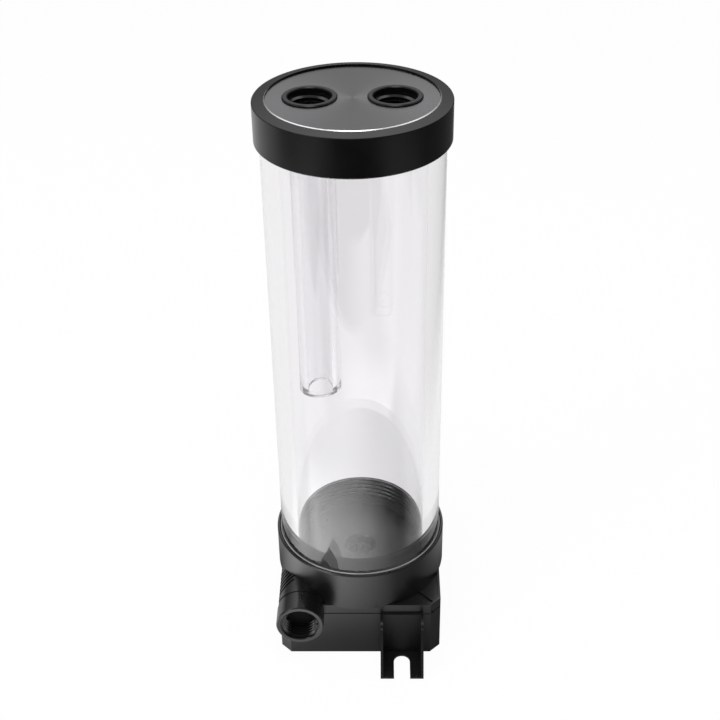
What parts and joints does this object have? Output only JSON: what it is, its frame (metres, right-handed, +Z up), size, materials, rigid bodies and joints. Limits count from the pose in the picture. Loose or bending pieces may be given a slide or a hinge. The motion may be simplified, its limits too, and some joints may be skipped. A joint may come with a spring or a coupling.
{
  "type": "coolant pump reservoir",
  "caption": "Clear tube coolant reservoir on a square wet-rotor pump, with a two-port cap, an inner dip tube, a side outlet boss and slotted feet.",
  "frame": {"origin": "middle of the underside, on the tube's axis, on the surface that the part stands on", "axes": "+Z up along the tube and the impeller's axis, -Y towards the outlet and the front foot, +X to the right seen from the front"},
  "size_m": [0.0635, 0.088, 0.2118],
  "materials": {
    "cap_plastic": "matt black moulded plastic",
    "brushed_disc": "spun-brushed, dark anodised, bright bevel",
    "seal_rubber": "matt",
    "clear_acrylic": "polished clear acrylic",
    "pump_plastic": "fine-grained black moulded plastic",
    "can_plastic": "satin engineering plastic",
    "ceramic": "polished ceramic",
    "impeller_plastic": "satin",
    "magnet": "coated ferrite",
    "bearing_plastic": "satin",
    "lamination_steel": "stamped laminations",
    "copper_wire": "enamelled copper winding",
    "board": "solder mask",
    "chip_plastic": "matt",
    "motor_plastic": "satin black moulded plastic",
    "screw_steel": "blackened steel",
    "foot_metal": "black powder coat"
  },
  "bodies": {
    "pump": {"top_cap": "cap_plastic", "cap_disc": "brushed_disc", "cap_gasket": "seal_rubber", "cap_o_ring": "seal_rubber", "reservoir_tube": "clear_acrylic", "dip_tube": "clear_acrylic", "tube_gasket": "seal_rubber", "pump_top": "pump_plastic", "pump_o_ring": "seal_rubber", "separating_can": "can_plastic", "bearing_ball": "ceramic", "stator_core": "lamination_steel", "stator_coils": "copper_wire", "circuit_board": "board", "board_chips": "chip_plastic", "motor_housing": "motor_plastic", "bottom_cover": "motor_plastic", "housing_screws": "screw_steel", "cable_gland": "seal_rubber", "front_foot": "foot_metal", "rear_foot": "foot_metal"},
    "rotor": {"impeller": "impeller_plastic", "rotor_magnet": "magnet", "bearing_cup": "bearing_plastic"}
  },
  "joints": [
    {"name": "impeller_spin", "type": "hinge", "parent": "pump", "child": "rotor", "pos_m": [0, 0, 0.0155], "axis": [0, 0, 1], "continuous": true}
  ]
}
